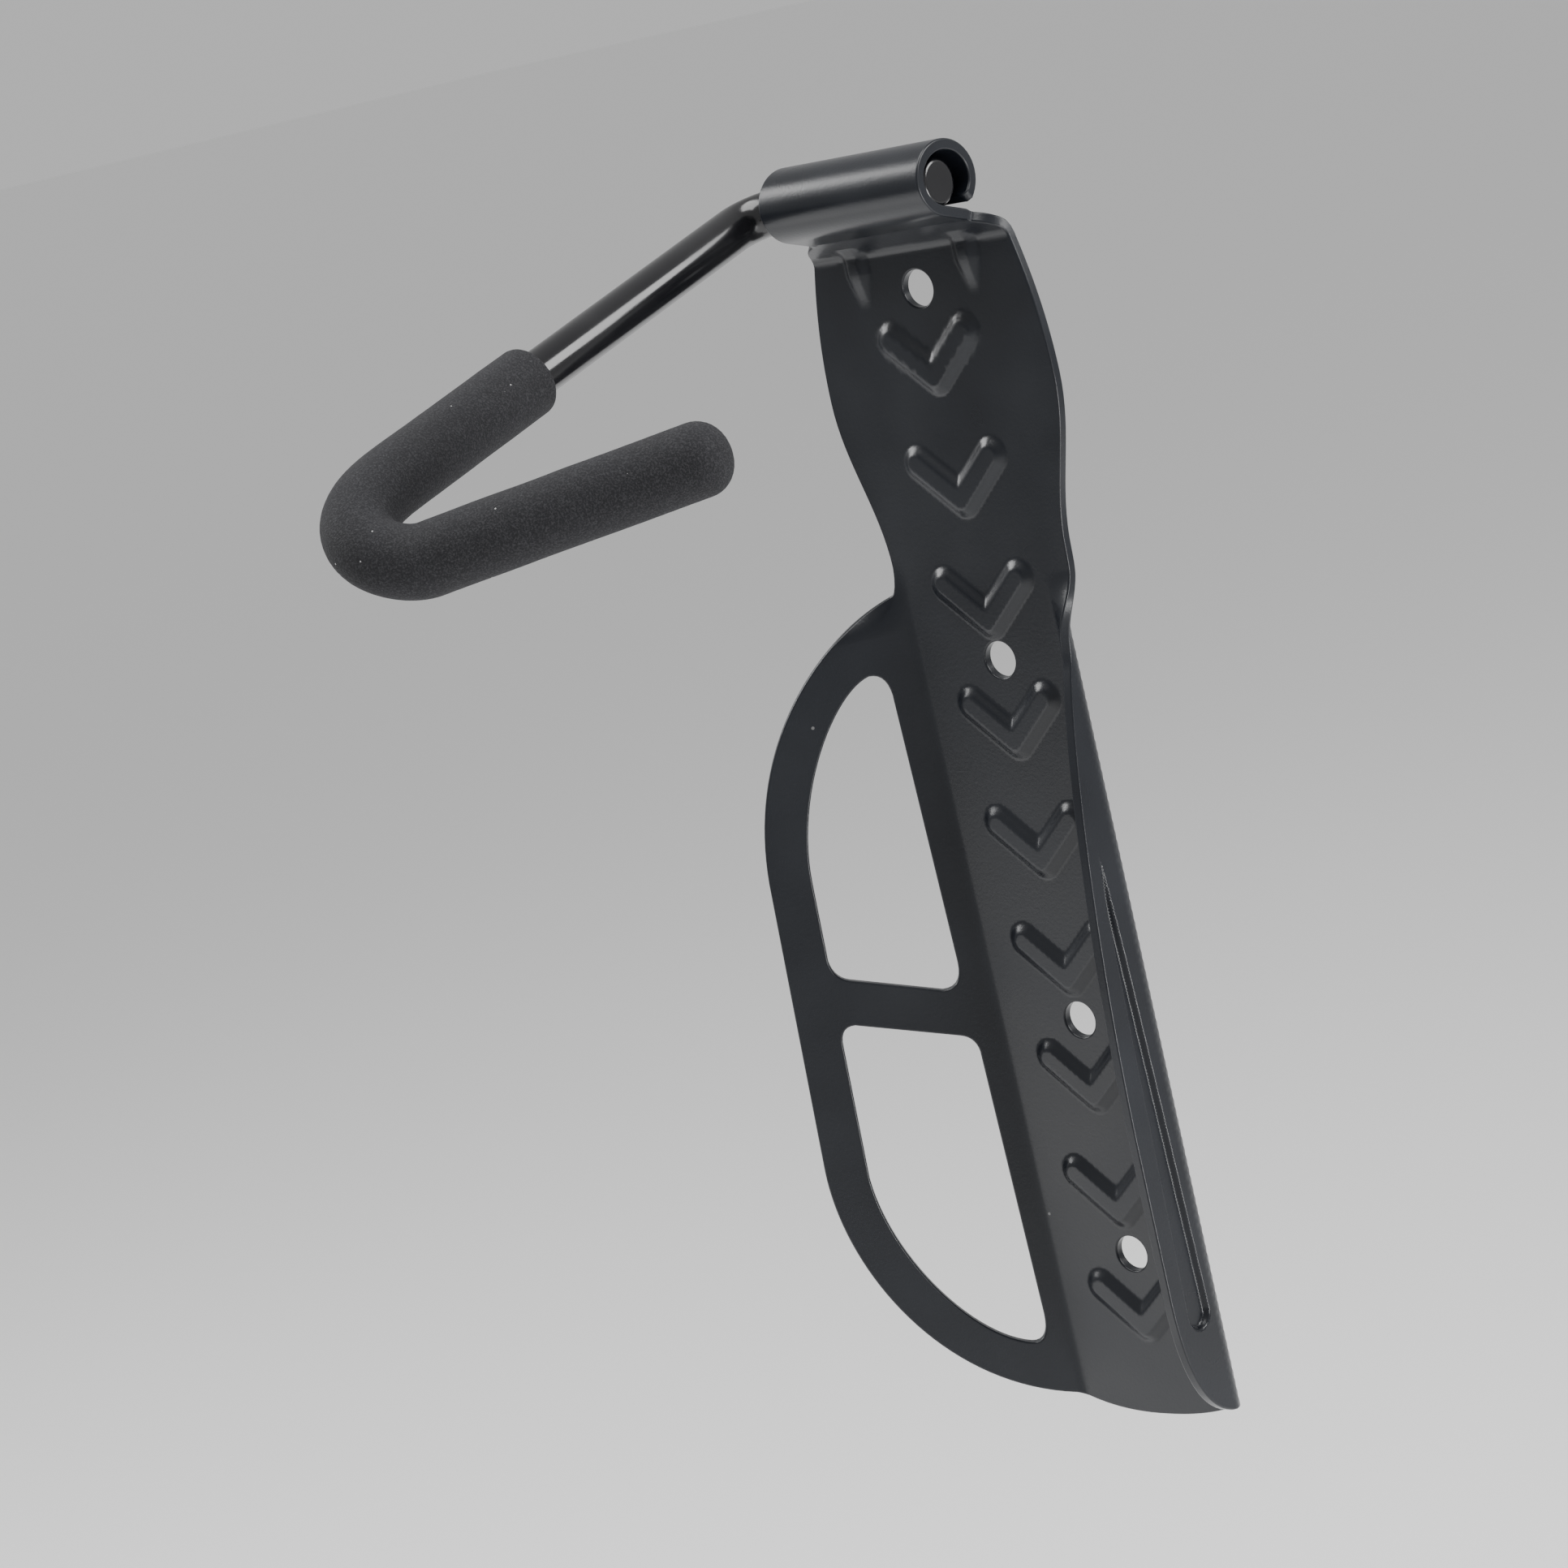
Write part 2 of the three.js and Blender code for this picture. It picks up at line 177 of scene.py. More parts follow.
def outward(loop: Array) -> Array:
    """Unit normals to the right of the way along a closed outline, one for each point."""
    way = np.roll(loop, -1, axis=0) - np.roll(loop, 1, axis=0)
    normal = np.stack([way[:, 1], -way[:, 0]], axis=1)
    return normal / np.linalg.norm(normal, axis=1, keepdims=True)


def inside(points: Array, loops: list[Array]) -> Array:
    """Whether each point lies inside the outer outline and outside its holes.

    Args:
        points: The points to test.
        loops: Closed outlines.

    Returns:
        One true or false for each point.
    """
    result = np.zeros(len(points), bool)
    for loop in loops:
        after = np.roll(loop, -1, axis=0)
        for (x0, y0), (x1, y1) in zip(loop, after):
            if y0 == y1:
                continue
            crosses = (points[:, 1] < y0) != (points[:, 1] < y1)
            cut = x0 + (points[:, 1] - y0) * (x1 - x0) / (y1 - y0)
            result ^= crosses & (points[:, 0] < cut)
    return result


def in_metres(places: Array) -> Array:
    """Places measured from the plate's front face, in metres from the wall."""
    return (places + np.array([0.0, -SHEET, 0.0])) * MM


def link_object(name: str, data: Mesh | AreaLight | Camera) -> Object:
    """A new object of the scene for a mesh, a light or a camera."""
    made = bpy.data.objects.new(name, data)
    bpy.context.scene.collection.objects.link(made)
    return made


def mesh_object(
    name: str,
    vertices: Array,
    faces: list[tuple[int, ...]],
    finish: Material,
    normals: Array | None = None,
) -> Object:
    """A new object from vertices in millimetres, measured from the plate's front face.

    Args:
        name: The object's name.
        vertices: Vertex places.
        faces: Vertex numbers of each face.
        finish: Its material.
        normals: The true surface's normal at each vertex, where it is known.

    Returns:
        The linked object, smooth shaded with sharp folds kept.
    """
    mesh = bpy.data.meshes.new(name)
    mesh.from_pydata(in_metres(vertices).tolist(), [], faces)
    mesh.update()
    piece = link_smooth(name, mesh)
    mesh.materials.append(finish)
    if normals is not None:
        if len(mesh.vertices) != len(vertices):
            raise ValueError(f"{name} has doubled vertices")
        mesh.normals_split_custom_set_from_vertices(normals.tolist())
    return piece


def link_smooth(name: str, mesh: Mesh) -> Object:
    """An object for a mesh, with its doubles merged, its normals out and its faces smooth.

    Args:
        name: The object's name.
        mesh: The mesh, in metres.

    Returns:
        The linked object.
    """
    shape = bmesh.new()
    shape.from_mesh(mesh)
    bmesh.ops.remove_doubles(shape, verts=shape.verts, dist=MERGE_GAP)
    bmesh.ops.dissolve_degenerate(shape, edges=shape.edges, dist=THIN_EDGE)
    bmesh.ops.recalc_face_normals(shape, faces=shape.faces)
    for face in shape.faces:
        face.smooth = True
    for edge in shape.edges:
        edge.smooth = len(edge.link_faces) == 2 and edge.calc_face_angle(0.0) < SHARP_FOLD
    shape.to_mesh(mesh)
    shape.free()
    return link_object(name, mesh)


# ---------------------------------------------------------------- shader groups


def new_group(name: str, inputs: dict[str, float], outputs: list[str]) -> ShaderNodeTree:
    """An empty shader group on Object coordinates.

    Args:
        name: The group's name.
        inputs: Each input's name and default value.
        outputs: Each output's name.

    Returns:
        The group's tree, with its Group Input and Group Output nodes in place.
    """
    tree = bpy.data.node_groups.new(name, "ShaderNodeTree")
    for label, value in inputs.items():
        socket = tree.interface.new_socket(label, in_out="INPUT", socket_type="NodeSocketFloat")
        socket.default_value = value
    for label in outputs:
        tree.interface.new_socket(label, in_out="OUTPUT", socket_type="NodeSocketFloat")
    tree.nodes.new("NodeGroupInput")
    tree.nodes.new("NodeGroupOutput")
    return tree


def find(tree: NodeTree, kind: str) -> Node:
    """The first node of a kind in a tree."""
    return next(node for node in tree.nodes if node.bl_idname == kind)


def join(tree: NodeTree, *wires: Wire) -> None:
    """Links nodes; a wire is the node and output that it leaves and the node and input it enters."""
    for source, leaving, target, entering in wires:
        tree.links.new(source.outputs[leaving], target.inputs[entering])


def set_inputs(node: Node, values: dict[str, float | tuple[float, ...]]) -> None:
    """Sets a node's unlinked inputs by name."""
    for label, value in values.items():
        node.inputs[label].default_value = value


def shaded(name: str) -> tuple[Material, Node]:
    """A new material, and its Principled shader."""
    material = bpy.data.materials.new(name)
    material.use_nodes = True
    return material, find(material.node_tree, "ShaderNodeBsdfPrincipled")


def math_node(tree: NodeTree, operation: str, first: NodeSocket, second: NodeSocket) -> NodeSocket:
    """The outcome of one operation on two values.

    Args:
        tree: The tree that the node goes in.
        operation: Blender's name for the operation.
        first: The first value.
        second: The second value.

    Returns:
        The node's output.
    """
    node = tree.nodes.new("ShaderNodeMath")
    node.operation = operation
    tree.links.new(first, node.inputs[0])
    tree.links.new(second, node.inputs[1])
    return node.outputs["Value"]


def noise_node(tree: NodeTree, detail: float, roughness: float) -> Node:
    """A 3-D noise texture fed with Object coordinates.

    Args:
        tree: The tree that it goes in.
        detail: Octaves of finer noise.
        roughness: How strong the finer octaves are.

    Returns:
        The noise node; its Scale is still to be set or linked.
    """
    place = tree.nodes.new("ShaderNodeTexCoord")
    texture = tree.nodes.new("ShaderNodeTexNoise")
    set_inputs(texture, {"Detail": detail, "Roughness": roughness})
    join(tree, (place, "Object", texture, "Vector"))
    return texture


def grain_group() -> ShaderNodeTree:
    """Fine surface grain: a Height for bump, and a slow Tone that drifts over the surface.

    Returns:
        The group, with inputs Scale and Coarse.
    """
    tree = new_group("surface_grain", {"Scale": 900.0, "Coarse": 25.0}, ["Height", "Tone"])
    sizes = find(tree, "NodeGroupInput")
    out = find(tree, "NodeGroupOutput")
    fine = noise_node(tree, 3.0, 0.6)
    slow = noise_node(tree, 2.0, 0.5)
    join(tree, (sizes, "Scale", fine, "Scale"), (sizes, "Coarse", slow, "Scale"))
    join(tree, (fine, "Fac", out, "Height"), (slow, "Fac", out, "Tone"))
    return tree


def dust_group() -> ShaderNodeTree:
    """Scattered pale specks of dust, as a mask.

    Returns:
        The group, with inputs Scale, Size and Share and the output Mask.
    """
    tree = new_group("dust_specks", {"Scale": 260.0, "Size": 0.12, "Share": 0.92}, ["Mask"])
    sizes = find(tree, "NodeGroupInput")
    out = find(tree, "NodeGroupOutput")
    place = tree.nodes.new("ShaderNodeTexCoord")
    cells = tree.nodes.new("ShaderNodeTexVoronoi")
    pick = tree.nodes.new("ShaderNodeSeparateColor")
    join(tree, (place, "Object", cells, "Vector"), (sizes, "Scale", cells, "Scale"))
    join(tree, (cells, "Color", pick, "Color"))
    near = math_node(tree, "LESS_THAN", cells.outputs["Distance"], sizes.outputs["Size"])
    rare = math_node(tree, "GREATER_THAN", pick.outputs["Red"], sizes.outputs["Share"])
    tree.links.new(math_node(tree, "MULTIPLY", near, rare), out.inputs["Mask"])
    return tree


# ---------------------------------------------------------------- finishes


@dataclass(frozen=True)
class Finish:
    """One surface finish: grain, tone drift and dust over a Principled shader.

    Colours are linear RGB; bump_height is in metres.
    """

    name: str
    dark: Colour
    light: Colour
    rough_low: float
    rough_high: float
    metallic: float
    coat: float
    grain_scale: float
    coarse_scale: float
    bump_strength: float
    bump_height: float
    dust_scale: float
    dust_size: float
    dust_share: float
    dust_tone: float
    specular: float = 0.5
    fine_tone: float = 0.0

    def material(self, grain: ShaderNodeTree, dust: ShaderNodeTree) -> Material:
        """Builds the material.

        Args:
            grain: The surface_grain group.
            dust: The dust_specks group.

        Returns:
            The finished material.
        """
        material, shader = shaded(self.name)
        tree = material.node_tree
        coat = {"Coat Weight": self.coat, "Coat Roughness": COAT_ROUGHNESS}
        set_inputs(shader, {"Metallic": self.metallic, "Specular IOR Level": self.specular, **coat})
        surface = tree.nodes.new("ShaderNodeGroup")
        surface.node_tree = grain
        set_inputs(surface, {"Scale": self.grain_scale, "Coarse": self.coarse_scale})
        specks = tree.nodes.new("ShaderNodeGroup")
        specks.node_tree = dust
        set_inputs(specks, {"Scale": self.dust_scale, "Size": self.dust_size, "Share": self.dust_share})
        tone = self._ramp(tree, surface.outputs["Tone"])
        if self.fine_tone > 0:
            tone = self._speckle(tree, tone, surface.outputs["Height"])
        dusty = self._over(tree, tone, specks.outputs["Mask"], (self.dust_tone,) * 3)
        tree.links.new(dusty, shader.inputs["Base Color"])
        rough = tree.nodes.new("ShaderNodeMapRange")
        set_inputs(rough, {"From Min": TONE_LOW, "From Max": TONE_HIGH})
        set_inputs(rough, {"To Min": self.rough_low, "To Max": self.rough_high})
        join(tree, (surface, "Tone", rough, "Value"), (rough, "Result", shader, "Roughness"))
        bump = tree.nodes.new("ShaderNodeBump")
        set_inputs(bump, {"Strength": self.bump_strength, "Distance": self.bump_height})
        join(tree, (surface, "Height", bump, "Height"), (bump, "Normal", shader, "Normal"))
        return material

    def _ramp(self, tree: NodeTree, value: NodeSocket) -> NodeSocket:
        """A colour ramp from the dark tone to the light one.

        Args:
            tree: The material's tree.
            value: What drives the ramp.

        Returns:
            The ramp's colour output.
        """
        ramp = tree.nodes.new("ShaderNodeValToRGB")
        ramp.color_ramp.elements[0].position = TONE_LOW
        ramp.color_ramp.elements[1].position = TONE_HIGH
        ramp.color_ramp.elements[0].color = (*self.dark, 1.0)
        ramp.color_ramp.elements[1].color = (*self.light, 1.0)
        tree.links.new(value, ramp.inputs["Fac"])
        return ramp.outputs["Color"]

    def _speckle(self, tree: NodeTree, tone: NodeSocket, height: NodeSocket) -> NodeSocket:
        """Lightens the tops of the grain.

        Args:
            tree: The material's tree.
            tone: The colour so far.
            height: The grain's height.

        Returns:
            The speckled colour.
        """
        tops = tree.nodes.new("ShaderNodeMapRange")
        set_inputs(tops, {"From Min": TOPS_LOW, "From Max": TOPS_HIGH, "To Max": self.fine_tone})
        tree.links.new(height, tops.inputs["Value"])
        return self._over(tree, tone, tops.outputs["Result"], FIBRE_TONE)

    def _over(self, tree: NodeTree, under: NodeSocket, mask: NodeSocket, over: Colour) -> NodeSocket:
        """Lays one even colour over another by a mask.

        Args:
            tree: The material's tree.
            under: The colour so far.
            mask: Where the even colour shows.
            over: The even colour.

        Returns:
            The mixed colour.
        """
        mix = tree.nodes.new("ShaderNodeMix")
        mix.data_type = "RGBA"
        colour_in = [socket for socket in mix.inputs if socket.type == "RGBA"]
        colour_in[1].default_value = (*over, 1.0)
        tree.links.new(mask, mix.inputs["Factor"])
        tree.links.new(under, colour_in[0])
        return next(socket for socket in mix.outputs if socket.type == "RGBA")


POWDER_COAT = Finish(
    name="satin_powder_coat",
    dark=(0.0045, 0.0055, 0.0080),
    light=(0.0075, 0.0090, 0.0125),
    rough_low=0.26,
    rough_high=0.35,
    metallic=0.0,
    coat=0.05,
    grain_scale=1500.0,
    coarse_scale=35.0,
    bump_strength=0.25,
    bump_height=0.00012,
    dust_scale=190.0,
    dust_size=0.07,
    dust_share=0.985,
    dust_tone=0.12,
    specular=0.34,
)
ROD_ENAMEL = Finish(
    name="gloss_black_enamel",
    dark=(0.004, 0.004, 0.005),
    light=(0.007, 0.007, 0.008),
    rough_low=0.16,
    rough_high=0.24,
    metallic=0.0,
    coat=0.2,
    grain_scale=700.0,
    coarse_scale=60.0,
    bump_strength=0.10,
    bump_height=0.00008,
    dust_scale=230.0,
    dust_size=0.07,
    dust_share=0.97,
    dust_tone=0.25,
)
SLEEVE_FOAM = Finish(
    name="charcoal_foam",
    dark=(0.0085, 0.0085, 0.0100),
    light=(0.0145, 0.0145, 0.0165),
    rough_low=0.80,
    rough_high=0.95,
    metallic=0.0,
    coat=0.0,
    grain_scale=2600.0,
    coarse_scale=90.0,
    bump_strength=0.75,
    bump_height=0.00030,
    dust_scale=700.0,
    dust_size=0.13,
    dust_share=0.965,
    dust_tone=0.34,
    specular=0.25,
    fine_tone=0.085,
)


# ---------------------------------------------------------------- backplate


@dataclass(frozen=True)
class Fold:
    """One long fold of the sheet, from the plate into a side wall.

    side is -1 for the left and +1 for the right; start is where the flat plate ends; the fold
    grows from nothing at fade_top to its whole turn at fade_foot.
    """

    side: int
    start: float
    inner: float
    turn: float
    fade_top: float
    fade_foot: float

    def lay(self, across: Array, height: Array) -> tuple[Array, Array, Array]:
        """Places points that lie beyond the fold's start.

        Args:
            across: Distance beyond the start along the sheet's front face.
            height: The points' heights.

        Returns:
            X, Y and the angle that the sheet has turned through, for each point.
        """
        turn = self.turn * smooth_step(self.fade_top, self.fade_foot, height)
        arc = self.inner * turn
        angle = np.where(across < arc, across / self.inner, turn)
        angle = np.minimum(angle, turn)
        beyond = np.maximum(across - arc, 0.0)
        x = self.start + self.side * (self.inner * np.sin(angle) + beyond * np.cos(angle))
        y = -(self.inner * (1.0 - np.cos(angle)) + beyond * np.sin(angle))
        return x, y, angle


LEFT_FOLD = Fold(side=-1, start=-20.96, inner=4.0, turn=math.radians(42), fade_top=-59.0, fade_foot=-74.0)
RIGHT_FOLD = Fold(side=1, start=17.0, inner=2.6, turn=math.radians(90), fade_top=-64.0, fade_foot=-86.0)


@dataclass
class Chevrons:
    """The row of chevrons pressed forward out of the plate.

    first_tip is the lowest point of the top one, tip_inset its distance from the arms' centre
    lines, and tip_blend rounds the crotch where the arms meet.
    """

    count: int = 9
    pitch: float = 27.2
    first_tip: float = -23.9
    angle: float = math.radians(42)
    reach: float = 10.2
    tip_inset: float = 3.3
    tip_blend: float = 0.5
    radius: float = 3.0
    flank: float = 2.9
    rise: float = 1.4

    def height(self, x: Array, z: Array) -> Array:
        """How far the sheet is pressed forward at each point."""
        lift = np.zeros_like(x)
        arm = self.reach / math.cos(self.angle)
        for index in range(self.count):
            vertex = self.first_tip - self.pitch * index + self.tip_inset / math.cos(self.angle)
            side = np.sqrt(x * x + self.tip_blend**2)
            along = side * math.cos(self.angle) + (z - vertex) * math.sin(self.angle)
            along = np.clip(along, 0.0, arm)
            gap = np.hypot(side - along * math.cos(self.angle), z - vertex - along * math.sin(self.angle))
            edge = self.radius + self.flank / 2
            lift = np.maximum(lift, self.rise * smooth_step(edge, edge - self.flank, gap))
        return lift


@dataclass
class Bead:
    """The long bead pressed inward along the right flange, tapering to a point at the top.

    taper sets how fast the point widens, and run_in is the share of the length that it deepens over.
    """

    top: float = -124.0
    foot: float = -233.5
    across: float = 26.5
    half: float = 3.4
    depth: float = 1.4
    flank: float = 1.2
    taper: float = 0.75
    run_in: float = 0.15

    def height(self, across: Array, z: Array) -> Array:
        """How far the flange is pressed inward at each point."""
        low = self.foot + self.half
        along = np.clip(z, low, self.top)
        share = np.clip((self.top - along) / (self.top - low), 0.0, 1.0)
        half = self.half * share**self.taper
        gap = np.hypot(across - self.across, z - along)
        flank = np.minimum(self.flank, half + 0.05)
        pressed = smooth_step(0.0, 1.0, (half - gap + flank / 2) / flank)
        return self.depth * pressed * smooth_step(0.0, self.run_in, share)


@dataclass
class Gussets:
    """Two small ridges that stiffen the bend under the neck.

    lean puts the highest part above the middle, crown sharpens it, and foot_share is the ridge's
    width at its foot as a share of its full width.
    """

    x: float = 15.3
    foot: float = -3.0
    top: float = 12.5
    half: float = 3.9
    rise: float = 1.6
    lean: float = 1.4
    crown: float = 1.2
    foot_share: float = 0.45

    def height(self, x: Array, along: Array) -> Array:
        """How far the sheet is pushed out at each point."""
        share = np.clip((along - self.foot) / (self.top - self.foot), 0.0, 1.0)
        swell = np.sin(math.pi * share**self.lean) ** self.crown
        gap = np.abs(np.abs(x) - self.x)
        width = self.half * (self.foot_share + (1.0 - self.foot_share) * np.minimum(1.0, share * 2.0))
        return self.rise * swell * smooth_step(1.0, 0.25, gap / width)


@dataclass
class Barrel:
    """The neck and the barrel rolled from the sheet's tab, as a profile in Y and Z."""

    foot: float = 7.6
    bend_radius: float = 3.0
    bend_turn: float = math.radians(56)
    crease_y: float = -5.9
    crease_z: float = 13.2
    centre_y: float = -9.5
    centre_z: float = 22.9
    radius_y: float = 9.8
    radius_z: float = 8.2
    roll_start: float = math.radians(16)
    roll_end: float = math.radians(321)
    table: dict[str, Array] = field(default_factory=dict)

    def __post_init__(self) -> None:
        """Lays the profile out along the sheet's front face."""
        points = [(0.0, self.foot - 1.0), (0.0, self.foot)]
        for angle in np.linspace(0, self.bend_turn, 9)[1:]:
            y = -self.bend_radius * (1 - math.cos(angle))
            points.append((y, self.foot + self.bend_radius * math.sin(angle)))
        points += line(points[-1], (self.crease_y, self.crease_z), 0.5)
        angles = np.linspace(self.roll_start, self.roll_end, 160)
        ring = [
            (self.centre_y - self.radius_y * math.sin(a), self.centre_z - self.radius_z * math.cos(a))
            for a in angles
        ]
        points += line(points[-1], ring[0], 0.5) + ring[1:]
        path = np.array(points)
        way = np.gradient(path, axis=0)
        turn = np.unwrap(np.arctan2(-way[:, 0], way[:, 1]))
        lengths = np.linalg.norm(np.diff(path, axis=0), axis=1)
        along = self.foot - 1.0 + np.concatenate([[0.0], np.cumsum(lengths)])
        self.table = {"s": along, "y": path[:, 0], "z": path[:, 1], "turn": turn}

    @property
    def end(self) -> float:
        """The length along the sheet at which the roll stops."""
        return float(self.table["s"][-1])

    def lay(self, along: Array) -> tuple[Array, Array, Array]:
        """Places points that lie above the neck's foot.

        Args:
            along: Length along the sheet's front face.

        Returns:
            Y, Z and the angle that the sheet has turned through toward the room.
        """
        pick = [np.interp(along, self.table["s"], self.table[key]) for key in ("y", "z", "turn")]
        return pick[0], pick[1], pick[2]


@dataclass
class BackPlate:
    """The one folded sheet: plate, wing, flange, neck and barrel.

    The sheet is drawn flat, as a blank whose coordinates run across and up its front face. The
    blank is meshed, and each of its points is then laid on the folded and rolled sheet.
    """

    left: Fold = LEFT_FOLD
    right: Fold = RIGHT_FOLD
    chevrons: Chevrons = field(default_factory=Chevrons)
    bead: Bead = field(default_factory=Bead)
    gussets: Gussets = field(default_factory=Gussets)
    barrel: Barrel = field(default_factory=Barrel)
    tab_half: float = 22.4
    hole_radius: float = 4.1
    hole_heights: tuple[float, ...] = (0.0, -82.5, -165.0, -220.0)
    edge_radius: float = 0.45
    edge_pitch: float = 1.1
    pitch: float = 1.3
    fine_pitch: float = 0.62
    bead_pitch: float = 0.4216
    rim_gap: float = 0.4

    def wing(self, points: list[Point]) -> list[Point]:
        """Points given from the left fold's apex, in the blank's coordinates."""
        tangent = self.left.inner * math.tan(self.left.turn / 2)
        start = self.left.start - self.left.inner * self.left.turn + tangent
        return [(start - w, z) for w, z in points]

    def flange(self, points: list[Point]) -> list[Point]:
        """Points on the right flange given by Y, in the blank's coordinates."""
        start = self.right.start + self.right.inner * self.right.turn - self.right.inner
        return [(start - y, z) for y, z in points]

    def shoulder(self) -> list[Point]:
        """The upper plate's right edge, from the foot of the barrel's tab down to the waist."""
        edge = [(self.tab_half, 15.2)]
        edge += bezier([edge[-1], (22.5, 14.6), (26.9, 14.0), (27.6, 8.0)], 8)
        edge += bezier([edge[-1], (29.6, 0), (31.5, -10), (31.5, -22)], 14)
        edge += bezier([edge[-1], (31.5, -36), (24.6, -46), (24.5, -60)], 16)
        return edge

    def outer_outline(self) -> list[Point]:
        """The blank's outer outline, the material on its left."""
        half = self.tab_half
        top = self.barrel.end
        shoulder = self.shoulder()
        out = [(half, top - 1.0), (half - 1.0, top), (1.0 - half, top), (-half, top - 1.0)]
        out += [(-x, z) for x, z in shoulder]
        out += bezier([out[-1], (-24.5, -65.2), (-25.5, -65.8)], 4)
        out += bezier([(-25.5, -65.8), *self.wing([(22, -72), (42, -92), (43.7, -123)])], 34)
        out += self.wing([(46.2, -190)])
        out += bezier(self.wing([(46.2, -190), (47, -214), (31, -246), (1.6, -254)]), 34)
        out += bezier([out[-1], (-14, -258.6), (0, -258.4)], 12)
        out += bezier([(0, -258.4), (12, -258.4), *self.flange([(-2.2, -255.2)])], 12)
        out += bezier([out[-1], *self.flange([(-16.2, -251), (-16.6, -225)])], 16)
        out += self.flange([(-16.4, -185)])
        out += bezier(self.flange([(-16.4, -185), (-15.5, -140), (-9, -100), (-3.4, -84)]), 34)
        out += bezier([out[-1], (20.6, -78), (24.5, -70), shoulder[-1]], 10)
        return out + shoulder[-2::-1]

    def upper_window(self) -> list[Point]:
        """The wing's upper window, in the blank's coordinates."""
        edge = bezier([(11.8, -82.2), (20, -84), (33.6, -104), (34.2, -125)], 24)
        edge += bezier([(34.8, -142), (34.8, -147), (31, -148.4)], 8)
        edge += bezier([(12.5, -155), (6.6, -156.6), (6.6, -150)], 8)
        edge += bezier([(7.5, -89), (7.5, -82.2), (11.8, -82.2)], 8)
        return self.wing(edge)

    def lower_window(self) -> list[Point]:
        """The wing's lower window, in the blank's coordinates."""
        edge = bezier([(31, -159), (35.7, -157.6), (35.7, -163)], 8)
        edge += bezier([(36.7, -192), (37, -212), (22, -236), (9, -240)], 26)
        edge += bezier([(9, -240), (5.1, -241), (5.1, -234.3)], 8)
        edge += bezier([(6, -172), (6, -167.6), (9.6, -166.4)], 8)
        return self.wing(edge)

    def screw_hole(self, height: float) -> Array:
        """One round screw hole, the material on its left."""
        turn = -np.linspace(0, 2 * math.pi, 48, endpoint=False)
        return np.stack([self.hole_radius * np.cos(turn), height + self.hole_radius * np.sin(turn)], axis=1)

    def loops(self) -> list[Array]:
        """Every outline of the blank, each with the material on its left."""
        drawn = (self.outer_outline(), self.upper_window(), self.lower_window())
        outlines = [resample(outline, self.edge_pitch) for outline in drawn]
        outlines += [self.screw_hole(height) for height in self.hole_heights]
        for index, loop in enumerate(outlines):
            after = np.roll(loop, -1, axis=0)
            area = float(np.sum(loop[:, 0] * after[:, 1] - after[:, 0] * loop[:, 1]))
            outer = index == 0
            if (area > 0) != outer:
                outlines[index] = loop[::-1].copy()
        return outlines

    def press(self, points: Array) -> Array:
        """How far the sheet stands forward of its plain folded shape."""
        x, z = points[:, 0], points[:, 1]
        return self.chevrons.height(x, z) + self.bead.height(x, z) + self.gussets.height(x, z)

    def lay(self, points: Array, depth: Array) -> Array:
        """Lays blank points on the folded sheet.

        Args:
            points: Places in the blank, across and up.
            depth: Distance in front of the sheet's front face.

        Returns:
            Places in space.
        """
        across, along = points[:, 0], points[:, 1]
        x = across.copy()
        y = np.zeros_like(x)
        turn = np.zeros_like(x)
        for fold in (self.left, self.right):
            past = (across - fold.start) * fold.side
            chosen = past > 0
            fx, fy, angle = fold.lay(past[chosen], along[chosen])
            x[chosen] = fx
            y[chosen] = fy
            turn[chosen] = fold.side * angle
        place = np.stack([x - depth * np.sin(turn), y - depth * np.cos(turn), along], axis=1)
        rolled = along > self.barrel.foot
        by, bz, bend = self.barrel.lay(along[rolled])
        front = depth[rolled]
        place[rolled, 0] = across[rolled]
        place[rolled, 1] = by - front * np.cos(bend)
        place[rolled, 2] = bz - front * np.sin(bend)
        return place

    def directions(self, points: Array, below: float) -> tuple[Array, Array, Array]:
        """The finished sheet's directions at blank points.

        Args:
            points: Places in the blank, across and up.
            below: Distance behind the sheet's front face.

        Returns:
            Unit vectors across, up and out of the front face at each point.
        """
        step = 0.05
        places = []
        for shift in ((step, 0.0), (-step, 0.0), (0.0, step), (0.0, -step)):
            moved = points + np.array(shift)
            places.append(self.lay(moved, self.press(moved) - below))
        across = places[0] - places[1]
        up = places[2] - places[3]
        front = np.cross(across, up)
        return tuple(v / np.linalg.norm(v, axis=1, keepdims=True) for v in (across, up, front))

    def grid(self, pitch: float, low: Point, high: Point) -> Array:
        """A grid of staggered points over a box of the blank."""
        rows = np.arange(low[1], high[1], pitch * 0.87)
        columns = np.arange(low[0], high[0], pitch)
        shift = (np.arange(len(rows)) % 2) * pitch / 2
        x = columns[None, :] + shift[:, None]
        z = np.repeat(rows[:, None], len(columns), axis=1)
        return np.stack([x.ravel(), z.ravel()], axis=1)

